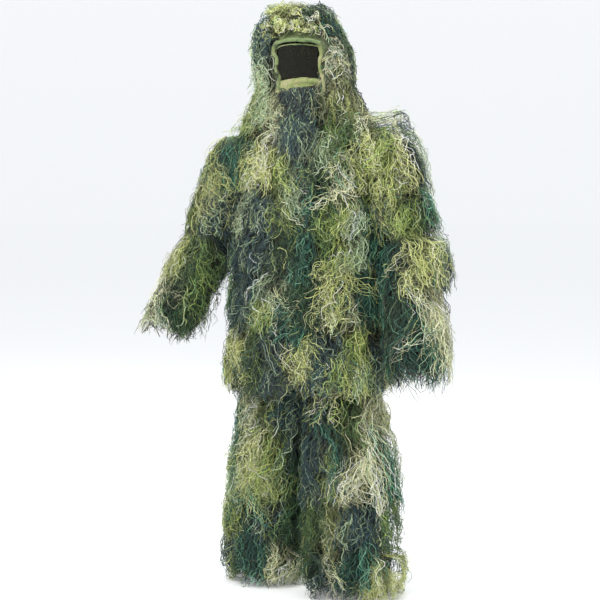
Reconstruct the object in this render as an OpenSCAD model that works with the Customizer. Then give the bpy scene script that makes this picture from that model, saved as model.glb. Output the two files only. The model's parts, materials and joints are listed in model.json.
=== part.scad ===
/* [Cloth and thread] */
// Thickness of the base fabric, with its seams
cloth = 4; // [3:0.5:6]
// How far the thread stands out from the fabric
thread_depth = 36; // [20:1:40]
// Clear space kept between a layer and the next one
clearance = 1.5; // [1:0.5:3]

/* [Jacket] */
// Length from the base of the neck to the bottom hem
jacket_length = 820; // [800:5:830]
// Half of the jacket's width at the chest
chest_half_width = 208; // [204:1:210]
// Half of the jacket's depth at the chest
chest_half_depth = 158; // [154:1:162]
// Width of the placket flap
placket_width = 70; // [50:1:74]

/* [Sleeves] */
// Length from the shoulder to the elbow
upper_sleeve_length = 305; // [295:5:310]
// Length from the elbow to the cuff
lower_sleeve_length = 300; // [285:5:305]
// Angle between the hanging upper sleeve and the vertical
sleeve_spread = 22; // [22:1:24]
// Radius of the opening in a relaxed cuff
cuff_radius = 34; // [30:1:36]

/* [Hood] */
// Height of the hood's crown above the base of the neck
hood_height = 332; // [328:1:340]
// Half of the hood's width at the face
hood_half_width = 120; // [118:1:122]
// Width of the face opening
face_width = 134; // [120:2:136]

/* [Trousers] */
// Drop from the base of the neck to the waistband's top edge
waist_drop = 445; // [440:1:450]
// Drop from the base of the neck to the crotch
crotch_drop = 700; // [695:1:705]
// Drop from the base of the neck to the knees
knee_drop = 975; // [965:5:985]
// Drop from the base of the neck to the trouser hems
trouser_drop = 1450; // [1440:5:1455]
// Radius of the opening in a relaxed trouser hem
ankle_radius = 52; // [48:1:54]

/* [Hidden] */

fabric_colour = [0.36, 0.42, 0.27];
moss = [0.30, 0.38, 0.16];
straw = [0.62, 0.60, 0.35];
teal = [0.10, 0.28, 0.24];
slate = [0.23, 0.30, 0.34];
black = [0.04, 0.05, 0.04];

round_steps = 64;
limb_sides = 16;
shoulder = [200, 0, -75];
seam_gap = 0.5;

// The torso's half width and half depth at each height
torso_widths = [
  [-jacket_length, 230], [-700, 222], [-560, 212], [-400, chest_half_width + 2],
  [-230, chest_half_width], [-120, 204], [-70, 199], [-35, 184], [-8, 152], [14, 112], [30, 78]
];
torso_depths = [
  [-jacket_length, 186], [-700, 172], [-560, chest_half_depth], [-230, chest_half_depth],
  [-150, 151], [-70, 136], [-35, 122], [-8, 106], [14, 90], [30, 74]
];
// How much of the thread's depth is left at the torso's sides, where a sleeve hangs
side_thread = [[-jacket_length, 0.7], [-600, 0.6], [-460, 0.5], [-340, 0.25], [-290, 0.1], [-214, 0],
  [-150, 0.3], [-60, 0.4], [30, 1]];

// The armhole is an oval in the side of the torso
armhole_top = -36;
armhole_bottom = -212;
armhole_half_depth = 68;

function mix(a, b, t) = a + (b - a) * t;
function unit(v) = v / norm(v);
function range_of(a, b, steps) = [for (i = [0:steps]) mix(a, b, i / steps)];

// A point on the torso, grown outwards. Angle 0 is the left side, and -90 is the front
function torso_point(z, angle, grow) = [
  (lookup(z, torso_widths) + grow) * cos(angle),
  (lookup(z, torso_depths) + grow) * sin(angle),
  z
];

// The angle at which the armhole's edge crosses this height, or 0 above and below it
function armhole_angle(z) =
  let (middle = (armhole_top + armhole_bottom) / 2, half = (armhole_top - armhole_bottom) / 2)
  let (reach = 1 - pow((z - middle) / half, 2))
  reach > 0 ? asin(armhole_half_depth * sqrt(reach) / lookup(z, torso_depths)) : 0;

// A wall between an outer and an inner grid of points, closed round each row or open
module wall(outer, inner, closed = true) {
  rows = len(outer);
  columns = len(outer[0]);
  spans = closed ? columns : columns - 1;
  skin = rows * columns;
  function at(layer, row, column) = layer * skin + row * columns + column % columns;
  outside = [for (i = [0:rows - 2], j = [0:spans - 1])
    each [
      [at(0, i, j), at(0, i, j + 1), at(0, i + 1, j + 1)],
      [at(0, i, j), at(0, i + 1, j + 1), at(0, i + 1, j)]
    ]];
  inside = [for (i = [0:rows - 2], j = [0:spans - 1])
    each [
      [at(1, i, j), at(1, i + 1, j + 1), at(1, i, j + 1)],
      [at(1, i, j), at(1, i + 1, j), at(1, i + 1, j + 1)]
    ]];
  first_edge = [for (j = [0:spans - 1])
    each [
      [at(0, 0, j), at(1, 0, j), at(1, 0, j + 1)],
      [at(0, 0, j), at(1, 0, j + 1), at(0, 0, j + 1)]
    ]];
  last_edge = [for (j = [0:spans - 1])
    each [
      [at(0, rows - 1, j), at(1, rows - 1, j + 1), at(1, rows - 1, j)],
      [at(0, rows - 1, j), at(0, rows - 1, j + 1), at(1, rows - 1, j + 1)]
    ]];
  first_side = closed ? [] : [for (i = [0:rows - 2])
    each [
      [at(0, i, 0), at(0, i + 1, 0), at(1, i + 1, 0)],
      [at(0, i, 0), at(1, i + 1, 0), at(1, i, 0)]
    ]];
  end = columns - 1;
  last_side = closed ? [] : [for (i = [0:rows - 2])
    each [
      [at(0, i, end), at(1, i + 1, end), at(0, i + 1, end)],
      [at(0, i, end), at(1, i, end), at(1, i + 1, end)]
    ]];
  polyhedron(
    points = [each [for (row = outer) each row], each [for (row = inner) each row]],
    faces = concat(outside, inside, first_edge, last_edge, first_side, last_side)
  );
}

/* ---------------- Jacket ---------------- */

panel_rows = [30, 14, -8, -34, -46, -70, -100, -135, -170, -200, -213, -300, -400, -560, -700,
  -jacket_length];

// One fabric panel of the torso between two seams, cut away round the armhole
module torso_panel(from, to, steps, from_armhole, to_armhole) {
  function edge(z, angle, cut) = angle + cut * armhole_angle(z);
  function row(z, grow) = [
    for (a = range_of(edge(z, from, from_armhole), edge(z, to, to_armhole), steps))
      torso_point(z, a, grow)
  ];
  wall(
    [for (z = panel_rows) row(z, 0)],
    [for (z = panel_rows) row(z, -cloth)],
    closed = false
  );
}

module jacket_back() color(fabric_colour) torso_panel(seam_gap, 180 - seam_gap, 9, 1, -1);

module jacket_front_left() color(fabric_colour) torso_panel(-90 + seam_gap, -seam_gap, 5, 0, -1);

module jacket_front_right() color(fabric_colour) torso_panel(-180 + seam_gap, -90 - seam_gap, 5, 1, 0);

module jacket_collar() {
  collar_low = 30.5;
  collar_high = 76;
  collar_half = [80, 74];
  collar_taper = 12;
  function half(axis, z, grow) = collar_half[axis] - collar_taper * z / collar_high + grow;
  function row(z, grow) = [
    for (a = range_of(-90 + seam_gap, 270 - seam_gap, 20))
      [half(0, z, grow) * cos(a), half(1, z, grow) * sin(a), z]
  ];
  color(fabric_colour)
    wall([for (z = [collar_high, collar_low]) row(z, 0)],
      [for (z = [collar_high, collar_low]) row(z, -cloth)], closed = false);
}

// Tape folded round the inside of the bottom hem
module jacket_hem_tape() {
  tape_height = 22;
  tape_gap = 4;
  tape_thickness = 1.5;
  function row(z, grow) = [
    for (a = range_of(-90 + 2 * seam_gap, 270 - 2 * seam_gap, 30))
      torso_point(z, a, -cloth - tape_gap + grow)
  ];
  rows = [-jacket_length + tape_height, -jacket_length + 2];
  color(moss) wall([for (z = rows) row(z, 0)], [for (z = rows) row(z, -tape_thickness)], closed = false);
}

placket_left = 40;
placket_right = placket_left - placket_width;
placket_top = -118;
placket_bottom = -790;
stud_count = 6;
stud_radius = 6.5;
stud_x = 31;
stud_height = 1.2;
stud_seat = 0.5;
stud_gap = 0.6;
placket_lift = 4.5;
function stud_z(i) = mix(placket_top - 30, placket_bottom + 45, i / (stud_count - 1));
function front_depth(z) = lookup(z, torso_depths);
// How far forward the torso is at a distance from its centre line
function front_at(x, z, grow) =
  -(front_depth(z) + grow) * sqrt(1 - pow(x / (lookup(z, torso_widths) + grow), 2));

// A press-stud half that stands square on the front of the torso
module stud_disc(x, z, grow, height) {
  across = x / pow(lookup(z, torso_widths), 2);
  forward = -front_at(x, z, 0) / pow(front_depth(z), 2);
  lean = atan((front_depth(z - stud_radius) - front_depth(z + stud_radius)) / (2 * stud_radius));
  translate([x, front_at(x, z, grow), z])
    rotate([90 - lean, 0, atan(across / forward)])
      cylinder(r = stud_radius, h = height, $fn = round_steps);
}

module jacket_sockets() color(black)
  for (i = [0:stud_count - 1]) stud_disc(stud_x, stud_z(i), stud_gap, stud_height);

// The thread's depth at an angle round the torso
function torso_thread(z, angle) =
  thread_depth * (1 - (1 - lookup(z, side_thread)) * pow(cos(angle), 4));

tier_clearance = 3;

// A row of thread round the torso, thin at its top and full at its bottom
module torso_tier(top, bottom, from, to, steps, fullness = 1) {
  least_step = 6;
  heights = concat([top], [for (z = panel_rows) if (z < top - least_step && z > bottom + least_step) z],
    [bottom]);
  shape = [[0, 0.35], [0.35, 0.85], [1, 1]];
  function thickness(z, angle) =
    3 + fullness * lookup((top - z) / (top - bottom), shape) * torso_thread(z, angle);
  function ring(z, inner) = [
    for (a = range_of(from, to, steps))
      torso_point(z, a, tier_clearance + (inner ? 0 : thickness(z, a)))
  ];
  wall([for (z = heights) ring(z, false)], [for (z = heights) ring(z, true)], closed = false);
}

// The angles at which the front thread stops beside the placket's thread
tier_from = -74;
tier_to = 261.5;
tier_steps = 26;
under_arm = 36;

// Rows of thread cover the shoulders, then leave the armholes free
module torso_yarn_shoulder() {
  function row(z, grow) = [
    for (a = range_of(-90 + seam_gap, 270 - seam_gap, 24)) torso_point(z, a, grow)
  ];
  grown = [[26, 12], [14, 18], [-8, 25], [-34, 28], [-48, 29]];
  color(straw)
    wall([for (g = grown) row(g[0], g[1])], [for (g = grown) row(g[0], tier_clearance)],
      closed = false);
}

module torso_yarn_chest() color(moss) {
  chest_top = -51;
  chest_middle = -114;
  chest_bottom = -208;
  torso_tier(chest_middle - 3, chest_bottom, tier_from, -under_arm, 4);
  torso_tier(chest_middle - 3, chest_bottom, -180 + under_arm, tier_to - 360, 4);
  torso_tier(chest_top, chest_middle, -90 + seam_gap, -under_arm - 6, 4, 0.75);
  torso_tier(chest_top, chest_middle, -180 + under_arm + 6, -90 - seam_gap, 4, 0.75);
  torso_tier(chest_top, chest_bottom, under_arm + 4, 180 - under_arm - 4, 8);
}

module torso_yarn_ribs() {
  bare_half_width = 52;
  bare_height = 100;
  bare_bottom = -286;
  bare_reach = 40;
  color(teal)
    difference() {
      torso_tier(-214, -344, tier_from, tier_to, tier_steps);
      for (side = [-1, 1])
        translate([side * chest_half_width - bare_reach, -bare_half_width, bare_bottom])
          cube([2 * bare_reach, 2 * bare_half_width, bare_height]);
    }
}
module torso_yarn_waist() color(slate) torso_tier(-347, -468, tier_from, tier_to, tier_steps);
module torso_yarn_hip() color(moss) torso_tier(-472, -640, tier_from, tier_to, tier_steps, 0.95);
module torso_yarn_hem() color(straw)
  torso_tier(-644, -jacket_length - 5, tier_from, tier_to, tier_steps, 0.9);

/* ---------------- Placket ---------------- */

placket_rows = [placket_top, -150, -190, -230, -320, -410, -485, -560, -630, -700, placket_bottom];

// A strip that follows the front of the torso
module front_strip(left, right, rows, near, far) {
  function row(z, grow) = [for (x = range_of(right, left, 4)) [x, front_at(x, z, grow), z]];
  wall([for (z = rows) row(z, far)], [for (z = rows) row(z, near)], closed = false);
}

module placket_flap() color(fabric_colour)
  front_strip(placket_left, placket_right, placket_rows, placket_lift, placket_lift + 3);

module placket_studs() color(black)
  for (i = [0:stud_count - 1])
    stud_disc(stud_x, stud_z(i), placket_lift - stud_height - stud_seat, stud_height);

module placket_yarn() color(moss)
  front_strip(placket_left, placket_right, placket_rows, placket_lift + 3.5, thread_depth + 2);

/* ---------------- Hood ---------------- */

// Height, half width, half depth and thread depth at each ring of the hood
hood_back_shift = 6;
hood_rings = [
  [42, 145, 136, 26], [66, 130, 130, 32], [95, 117, 126, 36],
  [150, hood_half_width - 2, 136, 34], [210, hood_half_width, 141, 34],
  [258, 112, 132, 34], [296, 88, 104, 34], [318, 56, 66, 34], [hood_height, 22, 26, 34]
];
hood_facets = 28;
crown_low = 132;
cape_high = 130;
cape_low = 44;
face_low = 92;
face_high = 240;
face_margin = 12;
// The veil and the brim bow round a line behind the face opening
veil_centre = -40;
veil_radius = 107;

// The hood's solid form, grown outwards by an even amount or by its thread
module hood_form(grow, thread_share) {
  dome_low = 258;
  function side_grow(ring) = grow + thread_share * ring[3];
  function top_grow(ring) = side_grow(ring) * max(0, (ring[0] - dome_low) / (hood_height - dome_low));
  for (i = [0:len(hood_rings) - 2])
    hull()
      for (ring = [hood_rings[i], hood_rings[i + 1]])
        translate([0, hood_back_shift, ring[0] + top_grow(ring)])
          scale([ring[1] + side_grow(ring), ring[2] + side_grow(ring), 1])
            cylinder(r = 1, h = 0.2, $fn = hood_facets);
}

// The space in front of the face
module face_opening(extra, low) {
  reach = 300;
  translate([-face_width / 2 - extra, -reach, low])
    cube([face_width + 2 * extra, reach, face_high + extra - low]);
}

// A slab wider than the hood, between two heights
module hood_slab(low, high) {
  reach = 250;
  translate([-reach, -reach, low]) cube([2 * reach, 2 * reach, high - low]);
}

module hood_shell() color(fabric_colour) {
  difference() {
    hood_form(0, 0);
    translate([0, 0, -cloth]) hood_form(-cloth, 0);
    face_opening(0, face_low);
  }
}

// A stiff band that arches over the face and holds the hood's edge open
module hood_brim() color(moss) {
  brim_radius = 117;
  brim_thickness = 5;
  brim_depth = 20;
  brim_height = 4;
  lip_height = 11;
  brim_angle = 37;
  translate([0, veil_centre, face_high])
    rotate([0, 0, -90 - brim_angle])
      rotate_extrude(angle = 2 * brim_angle, $fn = round_steps)
        translate([brim_radius, 0]) {
          translate([-brim_depth, 0]) square([brim_depth, brim_height]);
          square([brim_thickness, lip_height]);
        }
}

module hood_yarn_crown() color(straw) {
  difference() {
    hood_form(clearance, 1);
    hood_form(clearance, 0);
    face_opening(face_margin, 0);
    hood_slab(0, crown_low);
  }
}

module hood_yarn_cape() color(teal) {
  difference() {
    hood_form(clearance, 1);
    hood_form(clearance, 0);
    face_opening(face_margin, 0);
    hood_slab(cape_high, 2 * hood_height);
    hood_slab(0, cape_low);
  }
}

veil_stud_z = [104, 122];
veil_stud_angle = 30;
veil_stud_radius = 4.5;
veil_stud_height = 1.4;
mesh_half_angle = 34;
mesh_thickness = 1.2;
mesh_low = 130;
mesh_height = 100;
band_half_angle = 35;
band_thickness = 3;
band_low = 94;
band_height = 35;
tab_inner = 6.2;
tab_thickness = 2;
module veil_stud_ring(radius) {
  for (z = veil_stud_z, side = [-1, 1])
    translate([0, veil_centre, z])
      rotate([0, 0, -90 + side * veil_stud_angle])
        translate([radius, 0, 0])
          rotate([0, 90, 0])
            cylinder(r = veil_stud_radius, h = veil_stud_height, $fn = round_steps);
}

// A strip of a drum round the veil's line, between two heights
module veil_strip(low, height, middle, half_angle, inner, thickness)
  translate([0, veil_centre, low])
    rotate([0, 0, -90 + middle - half_angle])
      rotate_extrude(angle = 2 * half_angle, $fn = round_steps)
        translate([inner, 0]) square([thickness, height]);

// The hood's stud halves stand on two small tabs beside the chin
module hood_sockets() color(black) {
  tab_angle = 34;
  tab_half_angle = 7;
  veil_stud_ring(veil_radius - tab_inner + tab_thickness);
  for (side = [-1, 1])
    veil_strip(band_low + 2, band_height - 1, side * tab_angle, tab_half_angle, veil_radius - tab_inner,
      tab_thickness);
}

/* ---------------- Face veil ---------------- */

module veil_mesh() color(black)
  veil_strip(mesh_low, mesh_height, 0, mesh_half_angle, veil_radius, mesh_thickness);

module veil_band() color(fabric_colour)
  veil_strip(band_low, band_height, 0, band_half_angle, veil_radius, band_thickness);

module veil_studs() color(black) veil_stud_ring(veil_radius - 2.2);

// The beard of thread hangs from the band and lies over the chest
module veil_yarn() {
  beard_rows = [[128, -151.5, 8], [92, -153, 20], [10, -161, 26], [-90, -187, 26]];
  beard_half = 46;
  beard_steps = 6;
  function row(r, thickness) = [
    for (x = range_of(-beard_half, beard_half, beard_steps))
      [x, r[1] + 0.1 * abs(x) - thickness, r[0]]
  ];
  color(slate)
    wall([for (r = beard_rows) row(r, r[2])], [for (r = beard_rows) row(r, 0)], closed = false);
}

/* ---------------- Limbs ---------------- */

joint_gap = 3;

// A limb is [start, end, end side, end front, start cut, end cut, radii], and a cut gives how fast
// the wall draws back from a hinge towards the side, the other side, the front and the back
function cut_back(cut, side, front) =
  max(side, 0) * cut[0] + max(-side, 0) * cut[1] + max(front, 0) * cut[2] + max(-front, 0) * cut[3];

function limb_point(limb, t, angle, grow) =
  let (start = limb[0], end = limb[1], length = norm(limb[1] - limb[0]))
  let (radius = lookup(t, limb[6]) + grow)
  let (side = radius * cos(angle), front = radius * sin(angle))
  let (low = (joint_gap + cut_back(limb[4], side, front)) / length)
  let (high = 1 - (joint_gap + cut_back(limb[5], side, front)) / length)
  let (along = mix(low, high, t))
  let (side_way = unit(mix([1, 0, 0], limb[2], t)), front_way = unit(mix([0, -1, 0], limb[3], t)))
  mix(start, end, along) + side * side_way + front * front_way;

function limb_ring(limb, t, grow, from = 0, to = 360 - 360 / limb_sides) = [
  for (a = range_of(from, to, round((to - from) * limb_sides / 360))) limb_point(limb, t, -a, grow)
];

module limb_shell(limb, rows) {
  wall([for (t = rows) limb_ring(limb, t, 0)], [for (t = rows) limb_ring(limb, t, -cloth)]);
}

// A row of thread round a limb, over a share of its length
module limb_tier(limb, top, bottom, thin, full) {
  rows = [top, mix(top, bottom, 0.4), bottom];
  grown = [thin, mix(thin, full, 0.8), full];
  wall(
    [for (i = [0:2]) limb_ring(limb, rows[i], clearance + grown[i])],
    [for (i = [0:2]) limb_ring(limb, rows[i], clearance)]
  );
}

module right_side() mirror([1, 0, 0]) children();

/* ---------------- Sleeves ---------------- */

sleeve_way = [sin(sleeve_spread), 0, -cos(sleeve_spread)];
elbow = shoulder + upper_sleeve_length * sleeve_way;
armhole_plane = 15;
shoulder_cut = [0.12, 1.08 / tan(sleeve_spread), 0, 0];
elbow_front_fan = tan(31);
elbow_back_fan = tan(9);
elbow_cut = [0, 0, elbow_front_fan, elbow_back_fan];
no_cut = [0, 0, 0, 0];
upper_sleeve = [
  shoulder + [armhole_plane, 0, 0], elbow, [1, 0, 0], [0, -1, 0], shoulder_cut, elbow_cut,
  [[0, 70], [0.5, 64], [1, 60]]
];

// The lower sleeves hang a little differently: the left one is straighter down
left_lower_way = unit([0.12, -0.3, -0.95]);
right_lower_way = unit([0.4, -0.25, -0.88]);
function lower_sleeve_limb(way) =
  let (end_side = unit([1, 0, 0] - way[0] * way))
  [elbow, elbow + lower_sleeve_length * way, end_side, unit(cross(way, end_side)), elbow_cut, no_cut,
    [[0, 60], [0.6, 56], [0.86, 50], [0.93, 44], [1, 44]]];

module upper_sleeve_shell() color(fabric_colour) limb_shell(upper_sleeve, range_of(0, 1, 4));

// No thread is sewn under the arm, so its rows are open on the inner side
module upper_sleeve_tier(arc, rows, grown) wall(
  [for (i = [0:2]) limb_ring(upper_sleeve, rows[i], clearance + grown[i], -arc, arc)],
  [for (i = [0:2]) limb_ring(upper_sleeve, rows[i], clearance, -arc, arc)],
  closed = false
);
module upper_sleeve_yarn_top_row() color(straw)
  upper_sleeve_tier(110, [0.04, 0.2, 0.46], [10, 26, thread_depth - 6]);
module upper_sleeve_yarn_bottom_row() color(moss)
  upper_sleeve_tier(125, [0.48, 0.66, 0.98], [14, 24, thread_depth - 8]);

module left_upper_sleeve() upper_sleeve_shell();
module left_upper_sleeve_yarn_top() upper_sleeve_yarn_top_row();
module left_upper_sleeve_yarn_bottom() upper_sleeve_yarn_bottom_row();
module right_upper_sleeve() right_side() upper_sleeve_shell();
module right_upper_sleeve_yarn_top() right_side() upper_sleeve_yarn_top_row();
module right_upper_sleeve_yarn_bottom() right_side() upper_sleeve_yarn_bottom_row();

module lower_sleeve_shell(way) color(fabric_colour) limb_shell(lower_sleeve_limb(way), range_of(0, 1, 6));
module lower_sleeve_yarn_top_row(way) color(teal)
  limb_tier(lower_sleeve_limb(way), 0.03, 0.5, 14, thread_depth - 8);

// A row that flares out and hangs past the end of its limb
module limb_skirt(limb, rows, grown) wall(
  [for (i = [0:len(rows) - 1]) limb_ring(limb, rows[i], clearance + grown[i])],
  [for (i = [0:len(rows) - 1]) limb_ring(limb, rows[i], clearance)]
);
module lower_sleeve_yarn_bottom_row(way) color(slate)
  limb_skirt(lower_sleeve_limb(way), [0.52, 0.72, 1, 1.28], [14, 28, 44, 40]);

// A ring of elastic in a limb's hem, round a true cylindrical opening
elastic_width = 18;
elastic_thickness = 3;
module hem_elastic(end, way, radius) color(black)
  translate(end)
    rotate([0, acos(-way[2]), atan2(-way[1], -way[0])])
      translate([0, 0, 2])
        difference() {
          cylinder(r = radius + elastic_thickness, h = elastic_width, $fn = round_steps);
          translate([0, 0, -1]) cylinder(r = radius, h = elastic_width + 2, $fn = round_steps);
        }

module cuff_elastic(way) hem_elastic(elbow + lower_sleeve_length * way, way, cuff_radius);

module left_lower_sleeve() lower_sleeve_shell(left_lower_way);
module left_lower_sleeve_yarn_top() lower_sleeve_yarn_top_row(left_lower_way);
module left_lower_sleeve_yarn_bottom() lower_sleeve_yarn_bottom_row(left_lower_way);
module left_cuff_elastic() cuff_elastic(left_lower_way);
module right_lower_sleeve() right_side() lower_sleeve_shell(right_lower_way);
module right_lower_sleeve_yarn_top() right_side() lower_sleeve_yarn_top_row(right_lower_way);
module right_lower_sleeve_yarn_bottom() right_side() lower_sleeve_yarn_bottom_row(right_lower_way);
module right_cuff_elastic() right_side() cuff_elastic(right_lower_way);

/* ---------------- Trousers ---------------- */

hip = [105, 0, -crotch_drop];
hip_fan = [0, 0, tan(13.5), tan(8.5)];
knee_fan = [0, 0, 0, tan(36)];

// The left leg stands a little forward of the hips, and the right leg a little back
left_stride = [-30, -100];
right_stride = [8, 26];
function knee(stride) = [122, stride[0], -knee_drop];
function leg_end(stride) = [158, stride[1], -trouser_drop];
function ankle_way(stride) = unit(leg_end(stride) - knee(stride));

ankle_hem = ankle_radius + 11;
function thigh(stride) = [hip, knee(stride), [1, 0, 0], [0, -1, 0], hip_fan, knee_fan,
  [[0, 76], [0.4, 78], [1, 80]]];
function shin(stride) = [knee(stride), leg_end(stride), [1, 0, 0], [0, -1, 0], knee_fan, no_cut,
  [[0, 80], [0.5, 84], [0.85, 82], [0.96, ankle_hem], [1, ankle_hem]]];

band_width = 33;
seat_widths = [[-crotch_drop, 184], [-620, 178], [-520, 160], [-waist_drop, 148]];
seat_depths = [[-crotch_drop, 100], [-640, 116], [-520, 112], [-waist_drop, 105]];

seat_sides = 28;
function seat_ring(z, grow, fan_share) = [
  for (a = range_of(0, 360 - 360 / seat_sides, seat_sides - 1))
    let (x = (lookup(z, seat_widths) + grow) * cos(a), y = (lookup(z, seat_depths) + grow) * sin(a))
    [x, y, z + fan_share * (joint_gap + cut_back(hip_fan, 0, -y))]
];

module trousers_seat() color(fabric_colour) {
  rows = [[-waist_drop - band_width - 1, 0], [-540, 0], [-620, 0], [-crotch_drop, 1]];
  wall([for (r = rows) seat_ring(r[0], 0, r[1])], [for (r = rows) seat_ring(r[0], -cloth, r[1])]);
}

module waistband() color(moss) {
  rows = [-waist_drop, -waist_drop - band_width];
  wall([for (z = rows) seat_ring(z, 2, 0)], [for (z = rows) seat_ring(z, -3, 0)]);
}

module waist_elastic() color(black) {
  edge = 4;
  rows = [-waist_drop - edge, -waist_drop - band_width + edge];
  wall([for (z = rows) seat_ring(z, -4, 0)], [for (z = rows) seat_ring(z, -6.5, 0)]);
}

// A strip between the two legs, from the seat's front edge to its back edge
module crotch_gusset() {
  gusset_half = 22;
  gusset_reach = 92;
  function row(y, lift) = [
    for (x = [-gusset_half, gusset_half])
      [x, y, -crotch_drop + joint_gap + cut_back(hip_fan, 0, -y) + lift]
  ];
  rows = range_of(-gusset_reach, gusset_reach, 8);
  color(fabric_colour)
    wall([for (y = rows) row(y, 0)], [for (y = rows) row(y, cloth)], closed = false);
}

module seat_yarn() color(teal) {
  rows = [-560, -620, -672];
  grown = [4, 9, 11];
  wall([for (i = [0:2]) seat_ring(rows[i], clearance + grown[i], 0)],
    [for (i = [0:2]) seat_ring(rows[i], clearance, 0)]);
}

module thigh_shell(stride) color(fabric_colour) limb_shell(thigh(stride), range_of(0, 1, 4));
module thigh_yarn_top_row(stride) color(moss) limb_tier(thigh(stride), 0.03, 0.46, 4, 7);
module thigh_yarn_bottom_row(stride) color(straw)
  limb_tier(thigh(stride), 0.48, 0.98, 8, thread_depth - 6);
shin_rows = [0, 0.34, 0.5, 0.675, 0.84, 0.96, 1];
module shin_shell(stride) color(fabric_colour) limb_shell(shin(stride), shin_rows);
module shin_yarn_top_row(stride) color(slate) limb_tier(shin(stride), 0.02, 0.34, 12, thread_depth - 4);
module shin_yarn_middle_row(stride) color(teal) limb_tier(shin(stride), 0.355, 0.66, 16, thread_depth);
module shin_yarn_bottom_row(stride) color(moss)
  limb_skirt(shin(stride), [0.675, 0.84, 0.96, 1.038], [20, thread_depth + 4, 76, 80]);
module ankle_elastic(stride) hem_elastic(leg_end(stride), ankle_way(stride), ankle_radius);

module left_thigh() thigh_shell(left_stride);
module left_thigh_yarn_top() thigh_yarn_top_row(left_stride);
module left_thigh_yarn_bottom() thigh_yarn_bottom_row(left_stride);
module left_shin() shin_shell(left_stride);
module left_shin_yarn_top() shin_yarn_top_row(left_stride);
module left_shin_yarn_middle() shin_yarn_middle_row(left_stride);
module left_shin_yarn_bottom() shin_yarn_bottom_row(left_stride);
module left_ankle_elastic() ankle_elastic(left_stride);
module right_thigh() right_side() thigh_shell(right_stride);
module right_thigh_yarn_top() right_side() thigh_yarn_top_row(right_stride);
module right_thigh_yarn_bottom() right_side() thigh_yarn_bottom_row(right_stride);
module right_shin() right_side() shin_shell(right_stride);
module right_shin_yarn_top() right_side() shin_yarn_top_row(right_stride);
module right_shin_yarn_middle() right_side() shin_yarn_middle_row(right_stride);
module right_shin_yarn_bottom() right_side() shin_yarn_bottom_row(right_stride);
module right_ankle_elastic() right_side() ankle_elastic(right_stride);

jacket_back();
jacket_front_left();
jacket_front_right();
jacket_collar();
jacket_hem_tape();
jacket_sockets();
torso_yarn_shoulder();
torso_yarn_chest();
torso_yarn_ribs();
torso_yarn_waist();
torso_yarn_hip();
torso_yarn_hem();
placket_flap();
placket_studs();
placket_yarn();
hood_shell();
hood_brim();
hood_sockets();
hood_yarn_crown();
hood_yarn_cape();
veil_mesh();
veil_band();
veil_studs();
veil_yarn();
left_upper_sleeve();
left_upper_sleeve_yarn_top();
left_upper_sleeve_yarn_bottom();
right_upper_sleeve();
right_upper_sleeve_yarn_top();
right_upper_sleeve_yarn_bottom();
left_lower_sleeve();
left_lower_sleeve_yarn_top();
left_lower_sleeve_yarn_bottom();
left_cuff_elastic();
right_lower_sleeve();
right_lower_sleeve_yarn_top();
right_lower_sleeve_yarn_bottom();
right_cuff_elastic();
trousers_seat();
waistband();
waist_elastic();
crotch_gusset();
seat_yarn();
left_thigh();
left_thigh_yarn_top();
left_thigh_yarn_bottom();
right_thigh();
right_thigh_yarn_top();
right_thigh_yarn_bottom();
left_shin();
left_shin_yarn_top();
left_shin_yarn_middle();
left_shin_yarn_bottom();
left_ankle_elastic();
right_shin();
right_shin_yarn_top();
right_shin_yarn_middle();
right_shin_yarn_bottom();
right_ankle_elastic();
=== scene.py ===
"""A hooded suit of light fabric covered in rows of loose crimped thread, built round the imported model."""

import json
import math

import bpy
import numpy as np
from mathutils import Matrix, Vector, noise
from mathutils.bvhtree import BVHTree


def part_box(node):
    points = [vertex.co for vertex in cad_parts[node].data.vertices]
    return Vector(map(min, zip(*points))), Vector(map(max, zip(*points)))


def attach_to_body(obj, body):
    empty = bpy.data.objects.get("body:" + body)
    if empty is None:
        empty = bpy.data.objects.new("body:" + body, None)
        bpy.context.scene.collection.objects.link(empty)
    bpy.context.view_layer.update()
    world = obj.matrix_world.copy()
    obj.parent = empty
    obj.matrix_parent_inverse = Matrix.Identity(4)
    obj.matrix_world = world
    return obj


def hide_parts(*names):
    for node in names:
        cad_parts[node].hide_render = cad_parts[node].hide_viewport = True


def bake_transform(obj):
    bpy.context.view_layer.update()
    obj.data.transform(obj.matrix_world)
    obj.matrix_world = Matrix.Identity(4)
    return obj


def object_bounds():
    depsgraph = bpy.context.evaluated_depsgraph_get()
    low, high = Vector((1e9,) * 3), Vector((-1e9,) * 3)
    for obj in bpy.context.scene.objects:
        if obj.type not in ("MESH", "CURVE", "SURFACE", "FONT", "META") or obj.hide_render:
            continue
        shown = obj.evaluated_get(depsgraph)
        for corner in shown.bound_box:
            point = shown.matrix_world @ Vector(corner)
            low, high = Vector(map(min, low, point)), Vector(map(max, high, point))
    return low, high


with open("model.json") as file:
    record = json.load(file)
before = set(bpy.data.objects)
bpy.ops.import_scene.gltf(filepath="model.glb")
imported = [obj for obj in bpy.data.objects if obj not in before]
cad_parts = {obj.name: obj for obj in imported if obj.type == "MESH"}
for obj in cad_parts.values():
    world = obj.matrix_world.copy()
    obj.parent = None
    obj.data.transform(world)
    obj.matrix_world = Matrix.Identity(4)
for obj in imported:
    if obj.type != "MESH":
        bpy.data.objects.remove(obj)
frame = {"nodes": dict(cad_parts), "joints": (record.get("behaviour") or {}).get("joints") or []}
cad_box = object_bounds()
chance = np.random.default_rng(41)

UP = np.array([0.0, 0.0, 1.0])
ACROSS = np.array([1.0, 0.0, 0.0])


# ---------------------------------------------------------------- helpers

def unit(rows):
    """Each row of an array as a direction of length 1."""
    return rows / np.maximum(np.linalg.norm(rows, axis=-1, keepdims=True), 1e-9)


def dot(a, b):
    return (a * b).sum(-1, keepdims=True)


def ease(t):
    t = np.clip(t, 0, 1)
    return t * t * (3 - 2 * t)


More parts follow.
